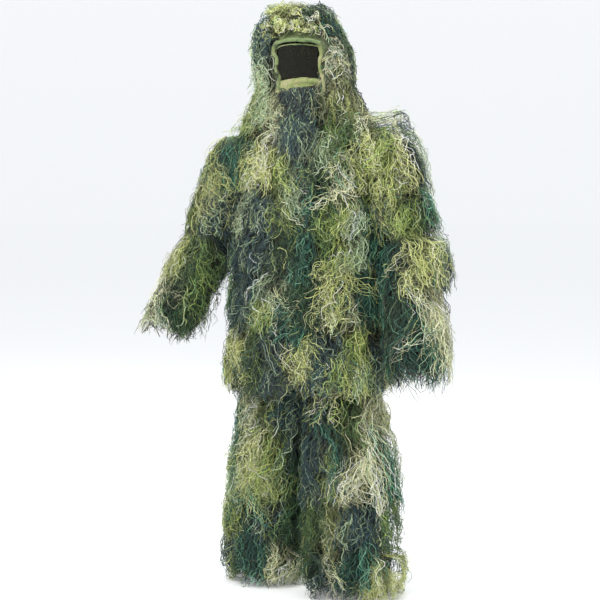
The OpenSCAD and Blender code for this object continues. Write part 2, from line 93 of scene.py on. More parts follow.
def wobble(x, y, z):
    """A smooth random value, about -1 to 1, at one point."""
    return noise.noise(Vector((x, y, z)))


def rough(points, size, seed):
    """A smooth random value, about -1 to 1, at each point."""
    flat = np.reshape(points, (-1, 3)) / size + seed * 7.3
    return np.array([noise.noise(Vector(p)) for p in flat]).reshape(np.shape(points)[:-1])


def straight(start, end, count):
    return np.linspace(np.array(start, float), np.array(end, float), count)


def curve_through(points, count):
    """Evenly spaced points on a smooth line through a few given ones."""
    p = np.array(points, float)
    p = np.vstack([2 * p[0] - p[1], p, 2 * p[-1] - p[-2]])
    fine = []
    for i in range(1, len(p) - 2):
        t = np.linspace(0, 1, 40, endpoint=False)[:, None]
        a, b, c, d = p[i - 1:i + 3]
        fine.append(0.5 * (2 * b + (c - a) * t + (2 * a - 5 * b + 4 * c - d) * t**2
                           + (3 * b - a - 3 * c + d) * t**3))
    fine = np.vstack(fine + [p[-2][None]])
    run = np.concatenate([[0], np.cumsum(np.linalg.norm(np.diff(fine, axis=0), axis=1))])
    even = np.linspace(0, run[-1], count)
    return np.stack([np.interp(even, run, fine[:, k]) for k in range(3)], 1)


def joint_place(name):
    return np.array(next(j for j in frame["joints"] if j["name"] == name)["pos_m"], float)


def box(node):
    low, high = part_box(node)
    return np.array(low), np.array(high)


def centre_of(node):
    low, high = box(node)
    return (low + high) / 2


def upright(node, count, above=0.001):
    """A path down the middle of a CAD node, from just inside its top to a little above its bottom."""
    low, high = box(node)
    return straight((0, 0, high[2] - 0.001), (0, 0, low[2] + above), count)


def grid_faces(rows, columns, closed=False):
    """The faces of a grid of points. A closed one joins its last column to its first."""
    return [(i * columns + j, i * columns + (j + 1) % columns,
             (i + 1) * columns + (j + 1) % columns, (i + 1) * columns + j)
            for i in range(rows - 1) for j in range(columns if closed else columns - 1)]


def flipped(faces):
    """Four-sided faces turned over."""
    return [(a, d, c, b) for a, b, c, d in faces]


def tube_faces(rows, sides):
    """The faces of a tube of points, with its two ends."""
    ends = [tuple(range(sides - 1, -1, -1)), tuple((rows - 1) * sides + k for k in range(sides))]
    return grid_faces(rows, sides, closed=True) + ends


def new_object(name, mesh, material):
    mesh.materials.append(material)
    obj = bpy.data.objects.new(name, mesh)
    bpy.context.scene.collection.objects.link(obj)
    return obj


def solid(name, points, faces, material, smooth=True):
    """An object from points and faces."""
    mesh = bpy.data.meshes.new(name)
    mesh.from_pydata([tuple(p) for p in points], [], faces)
    if smooth:
        mesh.shade_smooth()
    return new_object(name, mesh, material)


def shader_of(material):
    return material.node_tree.nodes["Principled BSDF"]


def new_material(name, **values):
    """A material whose shader inputs have the values given, and otherwise Blender's own."""
    material = bpy.data.materials.new(name)
    material.use_nodes = True
    for key, value in values.items():
        shader_of(material).inputs[key.replace("_", " ")].default_value = value
    return material


# ---------------------------------------------------------------- camera, floor and light

CAMERA_AZIMUTH = math.radians(14)
CAMERA_DISTANCE = 6.0
CAMERA_HEIGHT = 0.10
AIM = Vector((-0.024, -0.006, -0.560))
SENSOR = 36.0
VIEW_WIDTH = 1.868
FLOOR_GAP = 0.004
FLOOR_RADIUS, FLOOR_RISE, FLOOR_STEPS, FLOOR_SIDES = 18.0, 5.0, 12, 64


def look_at(thing, target):
    """Turns a camera or a light so that it faces a point."""
    thing.rotation_euler = (Vector(target) - thing.location).to_track_quat("-Z", "Y").to_euler()


def add_camera():
    data = bpy.data.cameras.new("camera")
    data.sensor_width = SENSOR
    data.lens = SENSOR * CAMERA_DISTANCE / VIEW_WIDTH
    camera = bpy.data.objects.new("camera", data)
    bpy.context.scene.collection.objects.link(camera)
    camera.location = (
        AIM.x + CAMERA_DISTANCE * math.sin(CAMERA_AZIMUTH),
        AIM.y - CAMERA_DISTANCE * math.cos(CAMERA_AZIMUTH),
        CAMERA_HEIGHT,
    )
    look_at(camera, AIM)
    bpy.context.scene.camera = camera


def add_floor():
    """A pale floor that curves up into a backdrop on every side."""
    level = cad_box[0].z - FLOOR_GAP
    rings = [(0.5, 0.0), (FLOOR_RADIUS, 0.0)]
    for i in range(1, FLOOR_STEPS + 1):
        turn = math.pi / 2 * i / FLOOR_STEPS
        rings.append((FLOOR_RADIUS + FLOOR_RISE * math.sin(turn), FLOOR_RISE * (1 - math.cos(turn))))
    around = [2 * math.pi * j / FLOOR_SIDES for j in range(FLOOR_SIDES)]
    points = [(0.0, 0.0, level)]
    points += [(radius * math.cos(turn), radius * math.sin(turn), level + height)
               for radius, height in rings for turn in around]
    faces = [(0, 1 + j, 1 + (j + 1) % FLOOR_SIDES) for j in range(FLOOR_SIDES)]
    faces += [[1 + i for i in f] for f in flipped(grid_faces(len(rings), FLOOR_SIDES, closed=True))]
    paper = new_material("floor_paper", Base_Color=(0.97, 0.97, 0.97, 1), Roughness=0.9,
                         Emission_Color=(1, 1, 1, 1), Emission_Strength=0.13)
    floor = solid("floor", points, faces, paper)
    floor.visible_shadow = False


def add_light(name, place, size, power, target=(0, 0, -0.5)):
    data = bpy.data.lights.new(name, "AREA")
    data.size = size
    data.energy = power
    light = bpy.data.objects.new(name, data)
    bpy.context.scene.collection.objects.link(light)
    light.location = place
    look_at(light, target)


def add_lights():
    world = bpy.data.worlds.new("studio")
    world.use_nodes = True
    sky = world.node_tree.nodes["Background"]
    sky.inputs["Color"].default_value = (0.94, 0.97, 1.0, 1)
    sky.inputs["Strength"].default_value = 0.80
    bpy.context.scene.world = world
    add_light("key", (-1.2, -2.4, 2.2), 1.0, 105)
    add_light("fill", (2.6, -2.2, 0.6), 2.2, 16)
    add_light("top", (0.3, 0.5, 2.2), 1.6, 35)
    add_light("rear", (0.5, 3.0, 1.2), 2.4, 35)


add_camera()
add_floor()
add_lights()
bpy.context.scene.view_settings.view_transform = "Standard"


# ---------------------------------------------------------------- skins: smooth grids round the CAD shells

CLOTH = 0.004


def shell_tree(names, shaped=None):
    """A search tree of the faces of some CAD nodes, reshaped by a function if one is given."""
    points, faces = [], []
    for name in names:
        mesh = frame["nodes"][name].data
        start = len(points)
        points += [v.co.copy() for v in mesh.vertices]
        faces += [[start + i for i in p.vertices] for p in mesh.polygons]
    if shaped is not None:
        points = [tuple(p) for p in shaped(np.array([tuple(p) for p in points]))]
    return BVHTree.FromPolygons(points, faces)


def merged(skins, swell=0.0):
    """A search tree of some skins together, grown outwards by a little if wished."""
    points, faces = [], []
    for skin in skins:
        start = len(points)
        points += [tuple(p) for p in (skin.points + skin.outs * swell).reshape(-1, 3)]
        faces += [tuple(start + i for i in face) for face in skin.faces()]
    return BVHTree.FromPolygons(points, faces)


class Skin:
    """A grid of points on the outside of some CAD shells. Its rows follow a path and its columns
    go round it, from the wearer's left through the front."""

    def __init__(self, names, path, columns, soften):
        self.path = np.array(path, float)
        self.turns = np.radians(np.linspace(0, 360, columns, endpoint=False))
        tree = shell_tree(names)
        along = unit(np.gradient(self.path, axis=0))
        side = unit(ACROSS - along * dot(along, ACROSS))
        front = np.cross(along, side)
        ways = (np.cos(self.turns)[None, :, None] * side[:, None]
                + np.sin(self.turns)[None, :, None] * front[:, None])
        reach = np.full(ways.shape[:2], np.nan)
        for i, start in enumerate(self.path):
            for j in range(columns):
                hit = tree.ray_cast(Vector(start), Vector(ways[i, j]), 0.5)
                if hit[0] is not None:
                    reach[i, j] = hit[3] + CLOTH
        self.open = np.isnan(reach)
        for lines in (reach.T, reach):
            for line in lines:
                known = ~np.isnan(line)
                if known.any() and not known.all():
                    line[:] = np.interp(np.arange(len(line)), np.flatnonzero(known), line[known])
        for _ in range(soften):
            ends = np.pad(reach, ((1, 1), (0, 0)), mode="edge")
            reach = (ends[:-2] + 2 * reach + ends[2:]) / 4
            reach = (np.roll(reach, 1, 1) + 2 * reach + np.roll(reach, -1, 1)) / 4
        self.points = self.path[:, None] + ways * reach[..., None]
        self.measure()

    def measure(self):
        """Works out the outward directions and the search tree from the points."""
        wide = np.concatenate([self.points[:, -1:], self.points, self.points[:, :1]], 1)
        round_way = np.gradient(wide, axis=1)[:, 1:-1]
        self.outs = unit(np.cross(round_way, np.gradient(self.points, axis=0)))
        self.tree = BVHTree.FromPolygons([tuple(p) for p in self.points.reshape(-1, 3)], self.faces())

    def faces(self, keep=None):
        faces = grid_faces(*self.points.shape[:2], closed=True)
        return faces if keep is None else [f for f, kept in zip(faces, keep.reshape(-1)) if kept]

    def flat_size(self):
        """The mean distance round the skin and the mean distance down it, in metres."""
        ring = np.concatenate([self.points, self.points[:, :1]], 1)
        width = np.linalg.norm(np.diff(ring, axis=1), axis=2).sum(1).mean()
        return width, np.linalg.norm(np.diff(self.points, axis=0), axis=2).sum(0).mean()


torso_low, torso_high = box("jacket_back")
torso_rows = np.concatenate([
    np.linspace(torso_high[2] - 0.001, -0.05, 12, endpoint=False),
    np.linspace(-0.05, torso_low[2], 40)])
torso = Skin(["jacket_back", "jacket_front_left", "jacket_front_right"], [(0, 0, z) for z in torso_rows],
             columns=96, soften=3)

hood_low, hood_high = box("hood_shell")
FACE_TOP, FACE_BOTTOM, FACE_HALF_TURN = 0.240, 0.092, 33
hood_rows = np.concatenate([
    np.linspace(hood_high[2] - 0.006, FACE_TOP, 12), np.linspace(FACE_TOP, FACE_BOTTOM, 14)[1:],
    np.linspace(FACE_BOTTOM, hood_low[2] + 0.001, 6)[1:]])
hood = Skin(["hood_shell"], [(0, 0.006, z) for z in hood_rows], columns=72, soften=2)


def leaned(points):
    """The top of the hood slumps towards the wearer's right: its left side is drawn in and down."""
    points = np.array(points, float)
    high = ease((points[..., 2] - 0.165) / 0.11)
    side = ease((points[..., 0] - 0.005) / 0.12)
    points[..., 0] -= 0.026 * high * side
    points[..., 2] -= 0.030 * ease((points[..., 2] - 0.20) / 0.11) * side
    return points


hood.points = leaned(hood.points)
hood.measure()
hood_tree = shell_tree(["hood_shell"], leaned)

SIDES = {"left": 1, "right": -1}


def make_sleeve(side):
    shoulder, elbow = joint_place(f"{side}_shoulder"), joint_place(f"{side}_elbow")
    wrist = centre_of(f"{side}_cuff_elastic")
    inward = np.array([-0.022 * SIDES[side], 0, 0.006])
    path = curve_through([shoulder + inward, (shoulder + elbow) / 2, elbow, (elbow + wrist) / 2,
                          wrist + unit(wrist - elbow) * 0.008], 56)
    skin = Skin([f"{side}_upper_sleeve", f"{side}_lower_sleeve"], path, columns=40, soften=3)
    line_height, press = (0.0, 0.3) if side == "left" else (-0.034, 0.80)
    shoulder_line = line_height - 0.40 * (np.abs(skin.points[..., 0]) - 0.19)
    skin.points[..., 2] -= press * np.maximum(skin.points[..., 2] - shoulder_line, 0)
    return skin


def make_leg(side):
    hip, knee = joint_place(f"{side}_hip"), joint_place(f"{side}_knee")
    ankle = centre_of(f"{side}_ankle_elastic")
    path = curve_through([hip + UP * 0.055, hip + UP * -0.012, (hip + knee) / 2, knee, (knee + ankle) / 2,
                          ankle + unit(ankle - knee) * 0.008], 68)
    return Skin([f"{side}_thigh", f"{side}_shin"], path, columns=44, soften=3)


sleeves = {side: make_sleeve(side) for side in SIDES}
legs = {side: make_leg(side) for side in SIDES}
seat = Skin(["trousers_seat"], upright("trousers_seat", 20, above=0.032), columns=60, soften=2)


# ---------------------------------------------------------------- materials

def start_material(name, roughness, sheen=0.0):
    return new_material(name, Roughness=roughness, Specular_IOR_Level=0.25, Sheen_Weight=sheen,
                        Sheen_Roughness=0.6)


def add_node(material, kind, **values):
    node = material.node_tree.nodes.new(kind)
    for key, value in values.items():
        if hasattr(node, key):
            setattr(node, key, value)
        else:
            node.inputs[key.replace("_", " ")].default_value = value
    return node


def wire(material, source, output, target, socket):
    material.node_tree.links.new(source.outputs[output], target.inputs[socket])


def texture(material, kind, **values):
    """A texture node that reads the object's own coordinates."""
    node = add_node(material, f"ShaderNodeTex{kind}", **values)
    wire(material, add_node(material, "ShaderNodeTexCoord"), "Object", node, "Vector")
    return node


def add_bump(material, source, output, strength, distance):
    bump = add_node(material, "ShaderNodeBump", Strength=strength, Distance=distance)
    wire(material, source, output, bump, "Height")
    wire(material, bump, "Normal", shader_of(material), "Normal")


def mottled(material, colour, marks, half_span, darkest, lightest):
    """Colours the shader by a node's colour, lighter and darker by a second node's marks."""
    spread = add_node(material, "ShaderNodeMapRange", From_Min=0.5 - half_span, From_Max=0.5 + half_span,
                      To_Min=darkest, To_Max=lightest)
    shade = add_node(material, "ShaderNodeVectorMath", operation="SCALE")
    wire(material, marks, "Fac", spread, "Value")
    wire(material, colour, "Color", shade, 0)
    wire(material, spread, "Result", shade, "Scale")
    wire(material, shade, "Vector", shader_of(material), "Base Color")


def ramp(material, source, stops, sharp=False):
    """Colours for the values of a texture."""
    node = add_node(material, "ShaderNodeValToRGB")
    node.color_ramp.interpolation = "CONSTANT" if sharp else "LINEAR"
    while len(node.color_ramp.elements) < len(stops):
        node.color_ramp.elements.new(0.5)
    for element, (place, colour) in zip(node.color_ramp.elements, stops):
        element.position = place
        element.color = (*colour, 1)
    wire(material, source, "Fac", node, "Fac")
    return node


def weave_bump(material, threads_per_metre, depth):
    """A fine plain weave, as a bump."""
    both = add_node(material, "ShaderNodeMath", operation="MAXIMUM")
    for k, way in enumerate("XZ"):
        wave = texture(material, "Wave", Scale=threads_per_metre / 6.28, Distortion=0.6)
        wave.bands_direction = way
        wire(material, wave, "Fac", both, k)
    add_bump(material, both, 0, 0.5, depth)


def camouflage(name, scale, *colours):
    """Printed cloth: blots of a few colours, worn a little lighter here and there."""
    material = start_material(name, 0.85, sheen=0.25)
    blots = texture(material, "Noise", Scale=scale, Detail=3.0, Roughness=0.55, Distortion=0.7)
    stops = [(0.0, colours[0])]
    for i, colour in enumerate(colours[1:]):
        stops.append((0.36 + 0.28 * i / max(1, len(colours) - 2), colour))
    wear = texture(material, "Noise", Scale=90.0, Detail=4.0, Roughness=0.7)
    mottled(material, ramp(material, blots, stops, sharp=True), wear, 0.2, 0.78, 1.2)
    weave_bump(material, 900, 0.0006)
    return material


def thread_material():
    """Loose thread: each thread's own tint, with flecks along it."""
    material = start_material("crimped_thread", 0.78, sheen=0.15)
    tint = add_node(material, "ShaderNodeAttribute", attribute_name="tint")
    mottled(material, tint, texture(material, "Noise", Scale=160.0, Detail=2.0), 0.25, 0.72, 1.28)
    return material


def ribbed(name, dark, light, ribs):
    """Woven elastic or tape: fine ribs of two shades."""
    material = start_material(name, 0.8)
    wave = texture(material, "Wave", Scale=ribs, Distortion=1.5, Detail=2.0)
    wave.bands_direction = "DIAGONAL"
    colours = ramp(material, wave, [(0.2, dark), (0.8, light)])
    wire(material, colours, "Color", shader_of(material), "Base Color")
    add_bump(material, wave, "Fac", 0.6, 0.0008)
    return material


def stud_metal():
    """Black enamel on brass, scratched through in places."""
    material = start_material("enamelled_stud", 0.35)
    marks = texture(material, "Noise", Scale=420.0, Detail=5.0, Roughness=0.7)
    stops = [(0.0, (0.012, 0.013, 0.011)), (0.66, (0.03, 0.03, 0.026)), (0.74, (0.30, 0.22, 0.10))]
    wire(material, ramp(material, marks, stops), "Color", shader_of(material), "Base Color")
    return material


base_fabric = camouflage("base_fabric", 9.0, (0.030, 0.034, 0.024), (0.050, 0.080, 0.035),
                         (0.115, 0.155, 0.055), (0.075, 0.11, 0.05))
face_fabric = camouflage("face_fabric", 26.0, (0.045, 0.075, 0.03), (0.12, 0.165, 0.058),
                         (0.185, 0.235, 0.085), (0.28, 0.285, 0.14))
band_fabric = camouflage("band_fabric", 30.0, (0.09, 0.13, 0.04), (0.20, 0.24, 0.075),
                         (0.28, 0.29, 0.12), (0.34, 0.31, 0.17))
brim_fabric = camouflage("brim_fabric", 30.0, (0.07, 0.12, 0.04), (0.14, 0.20, 0.07), (0.21, 0.26, 0.11))
netting = ribbed("dark_netting", (0.010, 0.010, 0.008), (0.028, 0.025, 0.020), 400.0)
elastic = ribbed("woven_elastic", (0.012, 0.015, 0.010), (0.055, 0.065, 0.045), 220.0)
tape = ribbed("herringbone_tape", (0.05, 0.07, 0.03), (0.12, 0.15, 0.07), 160.0)
studs = stud_metal()
thread = thread_material()


# ---------------------------------------------------------------- cloth pieces


def cloth(name, points, faces, material, thickness=0.0016):
    """A sheet with a little thickness from a grid's points and some of its faces."""
    points = np.reshape(points, (-1, 3))
    used = sorted({i for f in faces for i in f})
    place = {old: new for new, old in enumerate(used)}
    obj = solid(name, points[used], [[place[i] for i in f] for f in faces], material)
    obj.modifiers.new("smooth", "SUBSURF").levels = 1
    wall = obj.modifiers.new("wall", "SOLIDIFY")
    wall.thickness = thickness
    wall.offset = -1
    shown = obj.evaluated_get(bpy.context.evaluated_depsgraph_get())
    mesh = bpy.data.meshes.new_from_object(shown)
    obj.modifiers.clear()
    obj.data = mesh
    return obj


def folded(skin, depth, size, seed, long=2.5):
    """The skin's points with soft folds that run mostly downwards."""
    squeezed = skin.points * np.array([1, 1, 1 / long])
    swell = rough(squeezed, size, seed) + 0.5 * rough(squeezed, size / 2.3, seed + 3)
    return skin.points + skin.outs * (depth * swell)[..., None]


def ring_keep(skin, low_turn, high_turn):
    """Which of the skin's faces lie between two turns, in degrees."""
    rows, columns = skin.points.shape[:2]
    middle = np.degrees(skin.turns) + 180.0 / columns
    keep = (middle > low_turn) & (middle < high_turn)
    return np.tile(keep, (rows - 1, 1))


def open_cells(skin):
    """Which of the skin's faces have no CAD wall at any of their corners."""
    gap = skin.open
    right = np.roll(gap, -1, 1)
    return (gap & right)[:-1] & (gap & right)[1:]


sheets = {}
hems = {}


def declare(obj, size, rests, held="hung"):
    """Keeps a sheet's size, what it rests on and how it is held, by its name."""
    sheets[obj.name] = (obj, size, rests, held)


def attach(piece, body, node):
    """Puts a piece on a body in place of a CAD node."""
    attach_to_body(piece, body)
    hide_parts(node)


def build_jacket():
    points = folded(torso, 0.005, 0.11, 1)
    width, height = torso.flat_size()
    armholes = open_cells(torso)
    for name, low_turn, high_turn, node, share in (
        ("jacket_back_panel", 180, 360, "jacket_back", 0.5),
        ("jacket_left_front_panel", 0, 90, "jacket_front_left", 0.25),
        ("jacket_right_front_panel", 90, 180, "jacket_front_right", 0.25),
    ):
        keep = ring_keep(torso, low_turn, high_turn) & ~armholes
        panel = cloth(name, points, torso.faces(keep), base_fabric)
        attach(panel, "jacket", node)
        declare(panel, (width * share, height), ["jacket_collar_band"])


def band(name, node, path, body, material, columns=64, wrinkle=0.0, ripple=0):
    """A ring of cloth wrapped on one CAD node, wrinkled or gathered in ripples."""
    skin = Skin([node], path, columns=columns, soften=1)
    points = skin.points.copy()
    if wrinkle:
        points += skin.outs * (wrinkle * rough(points, 0.03, len(name)))[..., None]
    if ripple:
        points += skin.outs * 0.0012 * np.cos(ripple * skin.turns)[None, :, None]
    piece = cloth(name, points, skin.faces(~open_cells(skin)), material, 0.0015)
    attach(piece, body, node)
    declare(piece, skin.flat_size(), [body if body != "jacket" else "jacket_back_panel"], "stretched")


def build_bands():
    band("jacket_collar_band", "jacket_collar", upright("jacket_collar", 8), "jacket", base_fabric,
         wrinkle=0.003)
    band("jacket_hem_binding", "jacket_hem_tape", upright("jacket_hem_tape", 4), "jacket", tape,
         columns=96)
    band("trouser_waistband", "waistband", upright("waistband", 5), "trousers", tape, wrinkle=0.003,
         columns=72)
    band("waistband_elastic", "waist_elastic", upright("waist_elastic", 5), "trousers", elastic,
         columns=160, ripple=40)
    for side in SIDES:
        for part, limb, skin in (("cuff", "lower_sleeve", sleeves[side]), ("ankle", "shin", legs[side])):
            node = f"{side}_{part}_elastic"
            half = unit(skin.path[-1] - skin.path[-6]) * 0.0085
            path = straight(centre_of(node) - half, centre_of(node) + half, 5)
            band(f"{side}_{part}_gathered_elastic", node, path, f"{side}_{limb}", elastic,
                 columns=120, ripple=30)


def build_seat():
    piece = cloth("trouser_seat_cloth", folded(seat, 0.004, 0.1, 5), seat.faces(), base_fabric)
    attach(piece, "trousers", "trousers_seat")
    declare(piece, seat.flat_size(), ["trouser_waistband"])
    low, high = box("crotch_gusset")
    tree = shell_tree(["crotch_gusset"])
    points, rows, columns = [], 15, 6
    for y in np.linspace(low[1], high[1], rows):
        for x in np.linspace(low[0], high[0], columns):
            hit = tree.ray_cast(Vector((x * 0.98, y * 0.99, low[2] - 0.1)), Vector((0, 0, 1)), 0.5)
            points.append((x, y, hit[0].z if hit[0] is not None else high[2]))
    gusset = cloth("crotch_gusset_cloth", points, flipped(grid_faces(rows, columns)), base_fabric)
    attach(gusset, "trousers", "crotch_gusset")
    declare(gusset, (high[0] - low[0], (high[1] - low[1]) * 1.04), ["trouser_seat_cloth"])


def build_limb(side, skin, word, bodies, rests):
    """A limb's cloth in two lengths. Each replaces the node named like its body."""
    points = folded(skin, 0.005, 0.07, len(f"{side}_{word}_upper_cloth"))
    rows, columns = points.shape[:2]
    middle = rows // 2 - 4
    width, height = skin.flat_size()
    upper = np.tile(np.arange(rows - 1)[:, None] < middle, (1, columns))
    share = middle / (rows - 1)
    lengths = (("upper", upper, share), ("lower", ~upper, 1 - share))
    for k, (place, keep, part) in enumerate(lengths):
        piece = cloth(f"{side}_{word}_{place}_cloth", points, skin.faces(keep), base_fabric)
        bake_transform(piece)
        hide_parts(bodies[k + 1])
        declare(piece, (width, height * part), [rests])


def build_limbs():
    for side in SIDES:
        build_limb(side, sleeves[side], "sleeve", ["jacket", f"{side}_upper_sleeve", f"{side}_lower_sleeve"],
                   "jacket_back_panel")
        build_limb(side, legs[side], "trouser", ["trousers", f"{side}_thigh", f"{side}_shin"],
                   "trouser_seat_cloth")


# ---------------------------------------------------------------- hood and face veil

def build_hood():
    points = folded(hood, 0.0035, 0.08, 9)
    columns = points.shape[1]
    turns = np.degrees(hood.turns) + 180.0 / columns
    in_front = np.abs(turns - 90) < FACE_HALF_TURN
    heights = (hood.path[:-1, 2] + hood.path[1:, 2]) / 2
    face = in_front[None] & ((heights < FACE_TOP) & (heights > FACE_BOTTOM))[:, None]
    flat = points.reshape(-1, 3)
    crown = len(flat)
    flat = np.vstack([flat, leaned([[0, 0.006, hood_high[2] - 0.001]])])
    faces = hood.faces(~face) + [(crown, (j + 1) % columns, j) for j in range(columns)]
    shell = cloth("hood_cloth", flat, faces, face_fabric)
    attach(shell, "hood", "hood_shell")
    width, height = hood.flat_size()
    declare(shell, (width, height + 0.05), ["jacket_collar_band"])


FACE_AXIS = -0.040  # y of the upright axis that the peak, the veil and its netting bend round
VEIL_RADIUS = 0.1085


def on_arc(turn, radius, z):
    """A point at a turn round the face's axis. A quarter turn is the front."""
    return radius * math.cos(turn), FACE_AXIS - radius * math.sin(turn), z


def build_veil():
    """The cloth band under the window, creased and with both edges uneven."""
    low, high = box("veil_band")
    rows, columns, low_turn, high_turn = 22, 44, 49, 131
    points = []
    for z in np.linspace(high[2], low[2] + 0.001, rows):
        for turn in np.radians(np.linspace(low_turn, high_turn, columns)):
            fold = 0.0085 * wobble(math.cos(turn) * 3, 4, z * 55)
            points.append(on_arc(turn, VEIL_RADIUS + fold, z))
    points = np.array(points)
    across = points[:, 0] / 0.07
    share = (points[:, 2] - low[2]) / (high[2] - low[2])
    points[:, 2] += share * (0.004 * np.sin(2.1 * across + 0.4) - 0.006 * across**2)
    points[:, 2] += (1 - share) * 0.010 * (across + 0.5 * np.sin(3 * across))
    veil_band = cloth("veil_lower_band", points, grid_faces(rows, columns), band_fabric)
    attach(veil_band, "veil", "veil_band")
    width = VEIL_RADIUS * math.radians(high_turn - low_turn)
    declare(veil_band, (width, high[2] - low[2]), ["veil_netting"])


def tube_along(path, radius, sides=3):
    """Points and faces of a thin tube that follows a line."""
    path = np.array(path, float)
    along = unit(np.gradient(path, axis=0))
    guide = np.where(np.abs(along[:, 2:3]) > 0.9, ACROSS, UP)
    first = unit(np.cross(along, guide))
    second = np.cross(along, first)
    turns = 2 * np.pi * np.arange(sides) / sides
    rings = (path[:, None] + radius * (np.cos(turns)[None, :, None] * first[:, None]
                                       + np.sin(turns)[None, :, None] * second[:, None]))
    return rings.reshape(-1, 3), tube_faces(len(path), sides)


def build_netting():
    """The window's netting, thread by thread."""
    low, high = box("veil_mesh")
    spacing, thickness, low_turn, high_turn = 0.0026, 0.00048, 56, 124
    width = VEIL_RADIUS * math.radians(high_turn - low_turn)
    heights = np.linspace(low[2], high[2], 4)
    lines = [[on_arc(turn, VEIL_RADIUS, z) for turn in np.radians(np.linspace(low_turn, high_turn, 26))]
             for z in np.arange(low[2], high[2], spacing)]
    lines += [[on_arc(turn, VEIL_RADIUS, z) for z in heights]
              for turn in np.radians(np.linspace(low_turn, high_turn, int(width / spacing)))]
    points, faces = [], []
    for line in lines:
        some, shapes = tube_along(line, thickness)
        faces += [tuple(len(points) + i for i in f) for f in shapes]
        points += list(some)
    net = solid("veil_netting", points, faces, netting, smooth=False)
    attach(net, "veil", "veil_mesh")
    declare(net, (width, high[2] - low[2]), ["hood_peak"], "stretched")


def build_brim():
    """The stiff peak over the window: a bowed band with a turned-down edge, a little uneven."""
    top = box("hood_brim")[1][2] - 0.004
    edge, back, columns = 0.1205, 0.099, 44
    profile = [(back, 0.0030), (0.108, 0.0036), (0.116, 0.0030), (edge, 0.0010), (edge + 0.0012, -0.0035),
               (edge, -0.0075), (edge - 0.003, -0.0080), (edge - 0.0032, -0.0030), (0.110, -0.0008),
               (back, -0.0010)]
    points = []
    for turn in np.radians(np.linspace(53, 127, columns)):
        sag = 0.0025 * wobble(turn * 4, 2.5, 0) - 0.026 * (math.cos(turn) ** 2)
        points += [on_arc(turn, reach, top + height + sag) for reach, height in profile]
    peak = solid("hood_peak", points, tube_faces(columns, len(profile)), brim_fabric)
    attach(peak, "hood", "hood_brim")


def rolled_edge(name, line, radius, material, body, sheet):
    """A folded hem along a line given in millimetres, as a soft uneven roll that belongs to a sheet."""
    sides = 10
    path = curve_through(np.array(line) / 1000, 110)
    path += unit(path - path.mean(0)) * radius * 0.7 * rough(path, 0.016, 3)[:, None]
    points, faces = tube_along(path, radius, sides)
    middle = np.repeat(path, sides, 0)
    girth = 1 + 0.35 * rough(middle, 0.014, 6) + 0.2 * rough(points, 0.007, 8)
    roll = solid(name, middle + (points - middle) * girth[:, None], faces, material)
    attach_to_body(roll, body)
    hems.setdefault(sheet, []).append(roll)


def build_face_edges():
    """The turned cloth down both sides of the window, and the hem over it."""
    left = [(62, -128, 236), (68, -126, 222), (71, -124, 200), (66, -126, 172), (70, -124, 150),
            (76, -121, 125), (78, -119, 100), (72, -121, 82)]
    right = [(-62, -129, 240), (-73, -124, 228), (-78, -122, 205), (-66, -127, 185), (-69, -125, 160),
             (-58, -130, 135), (-60, -128, 110), (-52, -131, 92)]
    top = [(-66, -126, 219), (-50, -138, 226.5), (-25, -147.5, 230), (0, -150.5, 231), (35, -144.5, 230),
           (66, -126, 225)]
    rolled_edge("left_window_edge", left, 0.0052, band_fabric, "hood", "hood_cloth")
    rolled_edge("right_window_edge", right, 0.0066, face_fabric, "hood", "hood_cloth")
    rolled_edge("window_top_hem", top, 0.0022, face_fabric, "veil", "veil_lower_band")


def build_placket():
    low, high = box("placket_flap")
    tree = shell_tree(["placket_flap"])
    points, rows, columns = [], 60, 9
    for z in np.linspace(high[2] - 0.001, low[2] + 0.001, rows):
        for x in np.linspace(low[0] + 0.0005, high[0] - 0.0005, columns):
            hit = tree.ray_cast(Vector((x, -0.5, z)), Vector((0, 1, 0)), 1.0)
            points.append((x, hit[0].y + 0.0012 + 0.0012 * wobble(x * 30, 0.3, z * 14), z))
    flap = cloth("placket_cloth", points, flipped(grid_faces(rows, columns)), base_fabric)
    attach(flap, "placket", "placket_flap")
    declare(flap, (high[0] - low[0], high[2] - low[2]), ["jacket_right_front_panel"])


def finish_studs():
    """The press studs keep their CAD shapes under enamel."""
    for node in ("jacket_sockets", "placket_studs", "hood_sockets", "veil_studs"):
        for place in frame["nodes"][node].material_slots:
            place.material = studs


build_jacket()
build_bands()
build_placket()
build_brim()
build_face_edges()
finish_studs()
build_seat()
build_limbs()
build_hood()
build_veil()
build_netting()


# ---------------------------------------------------------------- loose thread

# The thread's colours. SHARES and MATES give each one's share of the back and the colour it is mixed with.
PALETTE = {
    "cream": (0.73, 0.68, 0.42), "straw": (0.43, 0.44, 0.17), "olive": (0.205, 0.260, 0.068),
    "moss": (0.062, 0.110, 0.032), "forest": (0.012, 0.040, 0.018), "teal": (0.007, 0.060, 0.046),
    "mint": (0.10, 0.25, 0.165), "slate": (0.024, 0.050, 0.060), "sage": (0.30, 0.37, 0.24),
}
NAMES = list(PALETTE)
TINTS = np.array([PALETTE[n] for n in NAMES]) * [0.93, 0.99, 0.87]
SHARES = [7, 17, 22, 14, 13, 11, 5, 13, 9]
MATES = ["sage", "cream", "straw", "olive", "moss", "mint", "teal", "sage", "cream"]
LOOSE = ["sage", "straw", "olive", "mint", "teal"]
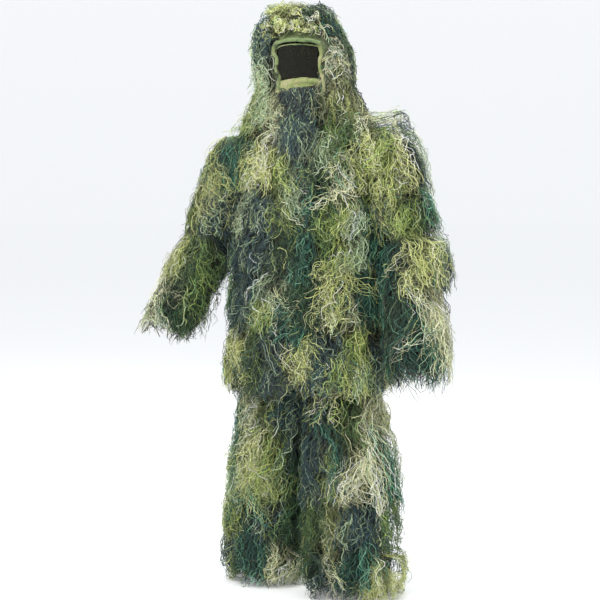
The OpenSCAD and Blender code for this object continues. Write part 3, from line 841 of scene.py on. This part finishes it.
# The main blots on the front, in millimetres: across, height and, where it is not the torso's front, depth.
FRONT_DEPTH = -190
BLOTS = {
    "straw": [(-55, 335, -80), (120, 90, -80), (-110, -110), (-180, -140), (190, -90), (130, -510),
        (-210, -660), (20, -700), (120, -790), (-300, -200, -60), (-410, -420, -80), (320, -160, -60),
        (360, -430, -100), (-160, -1090, -100), (110, -1220, -190), (280, -1350, -120), (250, -1440, -180)],
    "forest": [(35, 365, 0), (70, -130), (-20, -320), (40, -520), (-170, -790), (-400, -530, -100),
        (300, -600, -100), (-30, -1100, -70), (-30, -1260, -60), (60, -1340, -180)],
    "teal": [(85, 330, 0), (-220, -35, -50), (60, -210), (30, -380), (0, -610), (-100, -820),
        (280, -460, -80), (370, -650, -120), (-220, -930, -50), (120, -950, -140), (270, -1080, -60),
        (-170, -1230, -90), (-140, -1380, -80), (190, -1320, -200)],
    "slate": [(-115, 245, -50), (135, 170, 20), (10, 20), (20, -60), (270, -40, 0), (-110, -250),
        (-120, -350), (240, -240), (-170, -500), (-200, -580), (-50, -720), (100, -710), (50, -820),
        (-290, -280, -60), (290, -740, -120), (-20, -930, -80), (50, -960, -140), (40, -1060, -150),
        (-100, -1240, -90), (200, -1220, -170), (-240, -1320, -40), (80, -1430, -210), (170, -1430, -220)],
    "moss": [(-100, 320, -20), (130, 20, -100), (70, -320), (-130, -690), (-330, -450, -80),
        (360, -240, -40), (170, -930, -130), (50, -1200, -170), (280, -1240, -80), (-200, -1410, -50)],
    "sage": [(-125, 120, -70), (-150, -20), (80, -60), (0, -200), (-190, -220), (200, -290), (-80, -510),
        (200, -800), (-460, -630, -100), (-215, -1100, -50)],
    "olive": [(-140, 50, -60), (100, 10), (-20, -130), (170, 0), (240, -80, -40), (130, -270), (-40, -250),
        (-90, -600), (170, -680), (-20, -800), (-360, -310, -60), (330, -320, -80), (-110, -940, -110),
        (-100, -1120, -100), (110, -1070, -170), (-230, -1200, -50)],
    "cream": [(95, 180, -90), (180, 45, -10), (-60, 30, -170), (140, -190), (150, -580), (-470, -540, -100),
        (410, -530, -100), (-175, -920, -100), (235, -960, -80), (195, -1100, -140), (-75, -1390, -70),
        (120, -1330, -210)],
}
PATCH = 0.088
LOCK_SHAPE = np.array([1.15, 1.0, 0.62])


class Patches:
    """Blots of one colour over the whole suit, each round a seed point: random behind, placed in front."""

    def __init__(self):
        low, high = np.array(cad_box[0]), np.array(cad_box[1])
        count = int(np.prod((high - low) / PATCH) * 1.1)
        seeds = low + chance.random((count, 3)) * (high - low)
        colours = chance.choice(len(NAMES), count, p=np.array(SHARES) / sum(SHARES))
        behind = seeds[:, 1] > 0.02
        blots = [(NAMES.index(name), x, (deep + [FRONT_DEPTH])[0], z)
                 for name, places in BLOTS.items() for x, z, *deep in places]
        placed = np.array([blot[1:] for blot in blots]) / 1000
        self.seeds = np.vstack([seeds[behind], placed])
        self.colours = np.append(colours[behind], [blot[0] for blot in blots])

    def at(self, points):
        where = points + np.stack([rough(points, 0.06, k) for k in (11, 12, 13)], -1) * 0.035
        found = []
        for some in np.array_split(where, len(where) // 500 + 1):
            gaps = np.linalg.norm((some[:, None] - self.seeds[None]) * LOCK_SHAPE, axis=2)
            found.append(self.colours[gaps.argmin(1)])
        return np.concatenate(found)


patches = Patches()


def scatter(skin, spacing, keep):
    """Random points on a skin, about one in each square of that spacing, and the outward directions there."""
    p, n = (np.concatenate([grid, grid[:, :1]], 1) for grid in (skin.points, skin.outs))
    areas = np.linalg.norm(np.cross(p[:-1, 1:] - p[:-1, :-1], p[1:, :-1] - p[:-1, :-1]), axis=2)
    number = chance.poisson(areas / spacing**2)
    i, j = np.nonzero(number)
    i, j = np.repeat(i, number[i, j]), np.repeat(j, number[i, j])
    u, v = chance.random((2, len(i), 1))

    def mixed(grid):
        return ((1 - u) * (1 - v) * grid[i, j] + (1 - u) * v * grid[i, j + 1]
                + u * (1 - v) * grid[i + 1, j] + u * v * grid[i + 1, j + 1])

    places, outs = mixed(p), unit(mixed(n))
    chosen = keep(places)
    return places[chosen], outs[chosen]


def nearest(tree, places):
    """The nearest points on a surface, their outward directions, and how far the places stand off it."""
    near, outs = np.empty_like(places), np.empty_like(places)
    for k, place in enumerate(places.tolist()):
        near[k], outs[k] = tree.find_nearest(place)[:2]
    return outs, dot(places - near, outs)


STEPS = 14  # of each guide line


def comb(tree, roots, outs, lengths, lifts, sway, spread=None, strays=0.14):
    """Lets guide lines fall from their roots over a surface. Gravity pulls each one along the cloth, and
    straight down once the cloth turns away under it. Each keeps its own lift off the cloth."""
    place = roots + outs * 0.002
    stride = (lengths / STEPS)[:, None]
    fall = -UP[None] + outs * outs[:, 2:3]
    heading = unit(fall + outs * 0.25 + (0 if spread is None else spread))
    turn = chance.normal(0, sway, (len(roots), 1))
    bias = chance.normal(0, 1.1, turn.shape) * (chance.random(turn.shape) < strays)
    line, normals = [place], [outs]
    for k in range(STEPS):
        lift = lifts[:, None] * ease(np.full_like(stride, (k + 1) / STEPS * 4))
        out, gap = nearest(tree, place)
        pull = -UP[None] + out * out[:, 2:3] * (gap < lift + 0.012)
        turn = 0.72 * turn + chance.normal(0, sway * 0.7, turn.shape)
        sideways = np.cross(out, unit(pull))
        steady = np.minimum(1, np.linalg.norm(pull, axis=1, keepdims=True) * 3)
        heading = unit(0.5 * heading + 0.6 * (unit(pull) * steady + sideways * (turn + bias)))
        place = place + heading * stride
        out, gap = nearest(tree, place)
        place = place + out * np.maximum(lift - gap, 0)
        line.append(place)
        normals.append(out)
    return np.stack(line, 1), np.stack(normals, 1)


def sample(lines, t):
    """Points along many lines at fractional steps t."""
    last = lines.shape[1] - 1
    t = np.clip(t, 0, last - 1e-6)
    i = t.astype(int)
    f = (t - i)[..., None]
    rows = np.arange(len(lines))[:, None]
    return lines[rows, i] * (1 - f) + lines[rows, i + 1] * f


def fibres(lines, outs, count, points, fan):
    """Several crimped threads round each guide line, with their outward directions."""
    lines, outs = np.repeat(lines, count, 0), np.repeat(outs, count, 0)
    n = len(lines)
    ends = chance.uniform(0.80, 1.0, (n, 1)) * (lines.shape[1] - 1)
    share = np.linspace(0, 1, points)[None]
    centre, out = sample(lines, share * ends), unit(sample(outs, share * ends))
    along = unit(np.gradient(centre, axis=1))
    side = unit(np.cross(along, out))
    run = share * np.linalg.norm(np.diff(centre, axis=1), axis=2).sum(1)[:, None]
    opening = 0.75 + 0.5 * share
    drift = chance.normal(0, fan, (n, 1)) * opening
    rise = np.abs(chance.normal(0, fan * 0.5, (n, 1))) * opening
    slide = np.zeros((n, 1))
    for size, wave in ((CRIMP * 2.4, chance.uniform(0.060, 0.11, (n, 1))),
                       (CRIMP, chance.uniform(0.020, 0.034, (n, 1)))):
        size = size * chance.uniform(0.3, 1.2, (n, 1)) * ease(share * 5)
        phase = chance.uniform(0, 2 * np.pi, (3, n, 1))
        bent = run + 0.3 * wave * np.sin(2 * np.pi * run / (wave * 2.7) + phase[0])
        bent = 2 * np.pi * bent / wave
        drift = drift + size * np.sin(bent + phase[0])
        rise = rise + 0.55 * size * np.sin(bent * 1.13 + phase[1])
        slide = slide + 0.6 * size * np.sin(bent * 0.87 + phase[2])
    return centre + side * drift[..., None] + out * rise[..., None] + along * slide[..., None], out


# Thread stays in the CAD box and a little of what fabric may stand proud of it.
ROOM = np.array([cad_box[0], cad_box[1]])
ROOM += np.outer([-1, 1], 0.03 * (ROOM[1] - ROOM[0]) + 0.008)
ROOM[0, 2] = cad_box[0].z - 0.030


def thread_mesh(name, lines, outs, radii, tints):
    """One mesh of three-sided tubes along many lines, with a tint and a small square of UV for each."""
    lines = np.clip(lines, ROOM[0], ROOM[1])
    n, m = lines.shape[:2]
    along = unit(np.gradient(lines, axis=1))
    first = unit(np.cross(along, outs))
    second = np.cross(along, first)
    taper = np.ones(m)
    taper[0] = taper[-1] = 0.55
    thick = radii[:, None, None] * taper[None, :, None]
    turns = 2 * np.pi * np.arange(3) / 3
    rings = np.stack([lines + thick * (math.cos(t) * first + math.sin(t) * second) for t in turns], 2)
    base = (np.arange(n) * m * 3)[:, None, None]
    ring = (np.arange(m - 1) * 3)[None, :, None]
    k = np.arange(3)[None, None, :]
    after = (k + 1) % 3
    quads = np.stack([base + ring + k, base + ring + after, base + ring + 3 + after, base + ring + 3 + k], -1)
    caps = np.stack([base[:, 0] + np.array([2, 1, 0]), base[:, 0] + (m - 1) * 3 + np.array([0, 1, 2])], 1)
    corners = np.concatenate([quads.reshape(-1), caps.reshape(-1)]).astype(np.int32)
    sizes = np.concatenate([np.full(n * (m - 1) * 3, 4), np.full(n * 2, 3)])
    starts = np.concatenate([[0], np.cumsum(sizes)[:-1]]).astype(np.int32)

    cells = math.ceil(math.sqrt(n))
    cell = np.stack([np.arange(n) % cells, np.arange(n) // cells], 1) / cells
    pad, room = 0.2 / cells, 0.6 / cells
    u = np.broadcast_to(np.arange(m - 1)[None, :, None], (n, m - 1, 3))
    v = np.broadcast_to(k, (n, m - 1, 3))
    quad_u = np.stack([u, u, u + 1, u + 1], -1) / (m - 1) * room + pad + cell[:, 0, None, None, None]
    quad_v = np.stack([v, v + 1, v + 1, v], -1) / 3 * room + pad + cell[:, 1, None, None, None]
    cap_uv = np.broadcast_to(cell[:, None, None] + pad, (n, 2, 3, 2)).copy()
    cap_uv[:, 0, 1, 0] += room * 0.1
    cap_uv[:, 0, 2, 1] += room * 0.1
    cap_uv[:, 1, :, 0] += room * 0.9
    cap_uv[:, 1, 1, 0] += room * 0.1
    cap_uv[:, 1, 2, 1] += room * 0.1
    uv = np.concatenate([np.stack([quad_u, quad_v], -1).reshape(-1, 2), cap_uv.reshape(-1, 2)])

    mesh = bpy.data.meshes.new(name)
    mesh.vertices.add(n * m * 3)
    mesh.vertices.foreach_set("co", rings.reshape(-1).astype(np.float32))
    mesh.loops.add(len(corners))
    mesh.loops.foreach_set("vertex_index", corners)
    mesh.polygons.add(len(sizes))
    mesh.polygons.foreach_set("loop_start", starts)
    mesh.update(calc_edges=True)
    mesh.shade_smooth()
    layer = mesh.uv_layers.new(name="OFBake")
    layer.data.foreach_set("uv", uv.reshape(-1).astype(np.float32))
    colour = np.ones((n, m, 3, 4), np.float32)
    colour[..., :3] = tints[:, None, None]
    tint = mesh.attributes.new("tint", "FLOAT_COLOR", "POINT")
    tint.data.foreach_set("color", colour.reshape(-1))
    return new_object(name, mesh, thread)


def thread_tints(roots, level, colour=None):
    """Each thread's colour: its blot's, now and then its mate's or a loose one, with painted shade that makes
    it darker the lower it lies in the pile, near the cloth.
    """
    patch = patches.at(roots) if colour is None else np.full(len(roots), NAMES.index(colour))
    stray = chance.random(len(roots))
    patch = np.where(stray > 0.80, np.array([NAMES.index(n) for n in MATES])[patch], patch)
    loose = stray < 0.05
    patch[loose] = chance.choice([NAMES.index(n) for n in LOOSE], loose.sum())
    tint = TINTS[patch] * chance.lognormal(-0.02, 0.38, (len(roots), 1))
    grey = tint.mean(1, keepdims=True)
    tint = grey + (tint - grey) * chance.uniform(0.8, 1.1, (len(roots), 1))
    # Painted shade: the tint is scaled by the thread's level in the pile, so deep threads come out dark.
    return np.clip(tint * (0.12 + 1.46 * level[:, None]), 0, 0.85)


FINE, COARSE = 0.00076, 0.0019  # the threads' radii
CRIMP = 0.0056
THREADS_PER_PIECE = {"over": 1700, "under": 3740}
fringe = {}


def layer(tree, roots, outs, lengths, lifts, level, count, points, radius, fan, colour, **fall):
    """The threads of some tufts, with a width and a tint for each."""
    lines, normals = comb(tree, roots, outs, lengths, lifts, **fall)
    threads, thread_outs = fibres(lines, normals, count, points, fan)
    # The level darkens the tints as painted shade.
    tints = thread_tints(threads[:, points // 3], np.repeat(level, count), colour)
    return threads, thread_outs, radius * chance.uniform(0.8, 1.25, len(threads)), tints


def lay_threads(name, node, tree, roots, outs, lengths, depth, place, per_tuft=9, fan=0.0125, sway=0.55,
                colour=None, clear=None, **fall):
    """Tufts of thread from some roots, as one or more pieces that stand for a CAD node. A coarse layer lies
    under the fine one, made dark by painted shade. The depth, a number or one for each root, is how far they
    stand out."""
    # Each tuft's random level sets how far it stands out and its painted shade: lower tufts are painted
    # darker.
    level = chance.random(len(roots)) ** 0.8
    fall.update(fan=fan, colour=colour, sway=sway)
    # The under layer's tint gets a tenth of the level: painted shade deep in the pile.
    under = layer(tree, roots, outs, lengths * 0.94, 0.002 + depth * 0.45 * level, level * 0.1, 2, 9, COARSE,
                  **fall)
    over = layer(tree, roots, outs, lengths, 0.004 + depth * level, level, per_tuft, 17, FINE, **fall)
    for kind, rows in (("under", under), ("over", over)):
        if clear is not None:
            good = ~clear(rows[0]).any(1)
            rows = [row[good] for row in rows]
        order = np.argsort(np.arctan2(rows[0][:, 0, 1], rows[0][:, 0, 0]))
        parts = max(1, math.ceil(len(order) / THREADS_PER_PIECE[kind]))
        for k, some in enumerate(np.array_split(order, parts)):
            piece = thread_mesh(f"{name}_{kind}_{k + 1}", *(row[some] for row in rows))
            place(piece)
            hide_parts(node)
            fringe.setdefault(node, []).append(piece)


def riding(body):
    """Places thread on a body."""
    return lambda piece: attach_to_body(piece, body)


def bending():
    """Bakes a piece's placement into its mesh and leaves it on no body."""
    return lambda piece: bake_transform(piece)


SPACING = 0.0232
DEPTH = 0.030


def tier(node, skin, place, depth=DEPTH, bulge=None, spacing=SPACING, top=0.045, share=0.62, keep=None,
         drop=0.020, head=None, **options):
    """A row of thread: roots over the upper part of its CAD solid's height, ends near the solid's bottom."""
    low, high = box(node)
    root_low = high[2] - share * (high[2] - low[2])

    def in_row(p):
        chosen = (p[:, 2] < high[2] + top) & (p[:, 2] > root_low)
        return chosen & keep(p) if keep is not None else chosen

    roots, outs = scatter(skin, spacing, in_row)
    ends = low[2] - drop + chance.normal(0, 0.013, len(roots))
    lengths = np.maximum(roots[:, 2] - ends, 0.05) * chance.uniform(0.80, 1.12, len(roots))
    if bulge is not None:
        depth = depth + bulge(roots, outs)
    if head is not None:
        near_top = ease((roots[:, 2:3] + 0.10) / 0.05)
        options["spread"] = -ACROSS * SIDES[head] * near_top * chance.uniform(-0.2, 1.1, (len(roots), 1))
    lay_threads(f"{node}_threads", node, skin.tree, roots, outs, lengths, depth, place, **options)


def beside_placket(p):
    """Leaves the front opening's strip to the placket's own thread."""
    return ~((p[:, 1] < 0) & (p[:, 0] > -0.030) & (p[:, 0] < 0.040) & (p[:, 2] < -0.118))


def clear_of_arm(p):
    """No thread is sewn under the arm."""
    inside = (np.abs(p[:, 1]) < 0.055) & (np.abs(p[:, 0]) > 0.17)
    return beside_placket(p) & ~(inside & (p[:, 2] < -0.05) & (p[:, 2] > -0.29))


def grow_torso():
    for row in ("chest", "ribs", "waist", "hip", "hem"):
        tier(f"torso_yarn_{row}", torso, riding("jacket"), keep=clear_of_arm)
    yoke_tree = merged([torso, *sleeves.values()])
    for part, low_x, high_x, place in (
        ("right", -1, -0.10, bending()),
        ("middle", -0.10, 0.10, riding("jacket")),
        ("left", 0.10, 1, bending()),
    ):
        roots, outs = scatter(
            torso, SPACING, lambda p: (p[:, 2] > -0.06) & (p[:, 0] > low_x) & (p[:, 0] <= high_x))
        outward = ACROSS * np.sign(roots[:, :1]) * 0.5 * (part != "middle")
        depth = 0.022 + (0.038 * ease((roots[:, 0] - 0.03) / 0.09) if part == "left" else 0)
        lay_threads(f"torso_yarn_shoulder_{part}", "torso_yarn_shoulder", yoke_tree, roots, outs,
                    chance.uniform(0.11, 0.16, len(roots)), depth, place, spread=outward)
    low, high = box("placket_flap")

    def on_flap(p):
        across, height = p[:, 0], p[:, 2]
        inside = (across > low[0] + 0.006) & (across < high[0] - 0.006)
        return (p[:, 1] < 0) & inside & (height < high[2]) & (height > low[2] + 0.07)

    roots, outs = scatter(torso, 0.019, on_flap)
    lay_threads("placket_threads", "placket_yarn", torso.tree, roots + outs * 0.006, outs,
                chance.uniform(0.09, 0.14, len(roots)), 0.024, riding("placket"))


def outside_of_arm(side):
    """Roots on the upper sleeve stay off its inner side."""
    return lambda p: SIDES[side] * p[:, 0] > 0.168 + 0.45 * np.maximum(0, -0.060 - p[:, 2])


def fuller(side, outer, inner=0.0):
    """Extra depth of thread on a limb's outer and inner sides."""
    def extra(roots, outs):
        outward = SIDES[side] * outs[:, 0]
        return outer * ease(0.10 + 1.1 * outward) + inner * ease(-1.1 * outward)
    return extra


def heaped_cap(roots, outs):
    """Thread heaped over the top of the wearer's left sleeve."""
    return 0.040 * ease((roots[:, 2] + 0.15) / 0.09) * ease(1.5 * outs[:, 2])


def grow_limbs():
    for side in SIDES:
        arm, leg = sleeves[side], legs[side]
        upper, lower = f"{side}_upper_sleeve", f"{side}_lower_sleeve"
        thigh, shin = f"{side}_thigh", f"{side}_shin"
        elbow = bending()
        knee = bending()
        wide = side == "left"
        arm_extra = fuller(side, 0.010 if wide else -0.012)
        cap_extra = heaped_cap if wide else lambda roots, outs: -0.017
        forearm_extra = fuller(side, 0.034 if wide else -0.012)
        thigh_extra = fuller(side, 0.026 if wide else -0.006, 0.012)
        leg_extra = fuller(side, 0.050 if wide else 0.004, 0.020)
        tier(f"{upper}_yarn_top", arm, bending(), top=0.09,
             keep=outside_of_arm(side), head=side, bulge=cap_extra)
        tier(f"{upper}_yarn_bottom", arm, elbow, bulge=arm_extra)
        tier(f"{lower}_yarn_top", arm, elbow, bulge=forearm_extra)
        tier(f"{lower}_yarn_bottom", arm, riding(lower), drop=0.066 if wide else -0.070, bulge=forearm_extra)
        tier(f"{thigh}_yarn_top", leg, bending(), depth=0.008, spacing=0.026,
             per_tuft=6)
        tier(f"{thigh}_yarn_bottom", leg, knee, bulge=thigh_extra)
        tier(f"{shin}_yarn_top", leg, knee, bulge=leg_extra, top=0.085)
        tier(f"{shin}_yarn_middle", leg, riding(shin), bulge=leg_extra, depth=0.036)
        tier(f"{shin}_yarn_bottom", leg, riding(shin), share=0.7, drop=-0.008, depth=0.042, bulge=leg_extra)
    tier("seat_yarn", seat, riding("trousers"), depth=0.006, spacing=0.028, per_tuft=6)


def dome_roots(count):
    """Random points over the top of the hood, with the outward directions there."""
    centre = np.array([-0.010, 0.006, 0.20])
    x, y, z = (chance.normal(0, 1, count) for _ in range(3))
    ways = unit(np.stack([x, y, np.abs(z)], 1))
    ways = ways[ways[:, 2] > 0.42]
    roots = []
    for way in ways:
        hit = hood_tree.ray_cast(Vector(centre + way * 0.5), Vector(-way), 0.6)
        roots.append(tuple(hit[0]) if hit[0] is not None else tuple(centre))
    return np.array(roots) + ways * CLOTH, ways


def over_window(p):
    """Where thread of the hood would hang in front of the window."""
    x, y, z = p[..., 0], p[..., 1], p[..., 2]
    window = (np.abs(x - 0.002) / 0.060) ** 4 + (np.abs(z - 0.170) / 0.088) ** 4 < 1
    beard = (np.abs(x - 0.006) < 0.028) & (z <= 0.085) & (z > -0.02)
    return (y < -0.06) & (window | beard)


def grow_hood():
    def off_face(p):
        half = np.where(p[:, 2] < 0.086, 0.040, 0.065)
        return ~((p[:, 1] < -0.03) & (np.abs(p[:, 0]) < half) & (p[:, 2] < 0.298))

    def side_depth(roots):
        """Thread lies thicker over the wearer's right temple."""
        return 0.007 + 0.035 * ease(0.5 - roots[:, 0] / 0.16)

    top_roots, top_outs = dome_roots(330)
    side_roots, side_outs = scatter(hood, SPACING * 0.9, lambda p: (p[:, 2] > 0.135) & off_face(p))
    roots, outs = np.vstack([top_roots, side_roots]), np.vstack([top_outs, side_outs])
    over_face = (roots[:, 1] < -0.01) & (np.abs(roots[:, 0]) < 0.080) & (roots[:, 2] > 0.24)
    lengths = np.where(over_face, np.clip(roots[:, 2] - 0.275, 0.02, 0.06),
                       chance.uniform(0.08, 0.13, len(roots)))
    parting = np.where(over_face[:, None], np.sign(roots[:, :1] + 1e-4) * ACROSS * 0.35, 0)
    wild = chance.normal(0, 0.5, (len(roots), 3)) * [1, 1, 0]
    lay_threads("hood_crown_threads", "hood_yarn_crown", hood_tree, roots, outs, lengths, side_depth(roots),
                riding("hood"), spread=wild + parting, sway=0.8, clear=over_window)
    roots, outs = scatter(hood, SPACING * 0.9, lambda p: (p[:, 2] < 0.16) & off_face(p))
    lay_threads("hood_cape_threads", "hood_yarn_cape", merged([torso, hood], 0.012), roots, outs,
                np.maximum(roots[:, 2] + 0.030 + chance.normal(0, 0.015, len(roots)), 0.07) * 1.1,
                side_depth(roots) * 0.45, riding("hood"), sway=0.4, clear=over_window)


def grow_beard():
    """The fall of dark thread from the veil, which narrows downwards."""
    low, high = box("veil_yarn")
    count = 130
    across = np.clip(chance.normal(0.006, 0.021, count), low[0], high[0])
    height = chance.uniform(0.080, 0.104, count)
    deep = FACE_AXIS - np.sqrt(0.111**2 - across**2)
    outs = unit(np.stack([across, deep - FACE_AXIS, np.zeros(count)], 1))
    narrowing = -0.9 * across[:, None] * ACROSS / 0.05
    ends = -0.100 + 0.13 * (np.abs(across) / 0.045) ** 1.4 + chance.normal(0, 0.012, count)
    roots = np.stack([across, deep, height], 1)
    lay_threads("veil_beard_threads", "veil_yarn", merged([torso], 0.026), roots, outs,
                (height - ends) * 1.08, 0.022, riding("veil"), spread=narrowing, per_tuft=6, colour="slate",
                sway=0.16, strays=0, fan=0.005)


grow_torso()
grow_limbs()
grow_hood()
grow_beard()


def rows_of(part, *rows):
    return [f"{part}_yarn_{row}" for row in rows]


# The rows of thread sewn to each sheet, by their CAD nodes.
FRINGE_OF = {
    "jacket_back_panel": rows_of("torso", "shoulder", "chest", "ribs", "waist", "hip", "hem"),
    "placket_cloth": ["placket_yarn"], "trouser_seat_cloth": ["seat_yarn"],
    "hood_cloth": rows_of("hood", "crown", "cape"), "veil_lower_band": ["veil_yarn"],
}
for side in SIDES:
    FRINGE_OF[f"{side}_sleeve_upper_cloth"] = rows_of(f"{side}_upper_sleeve", "top", "bottom")
    FRINGE_OF[f"{side}_sleeve_lower_cloth"] = rows_of(f"{side}_lower_sleeve", "top", "bottom")
    FRINGE_OF[f"{side}_trouser_upper_cloth"] = rows_of(f"{side}_thigh", "top", "bottom")
    FRINGE_OF[f"{side}_trouser_lower_cloth"] = rows_of(f"{side}_shin", "top", "middle", "bottom")
for obj, size, rests, held in sheets.values():
    pieces = [piece for node in FRINGE_OF.get(obj.name, ()) for piece in fringe[node]]
    pieces += hems.get(obj.name, [])
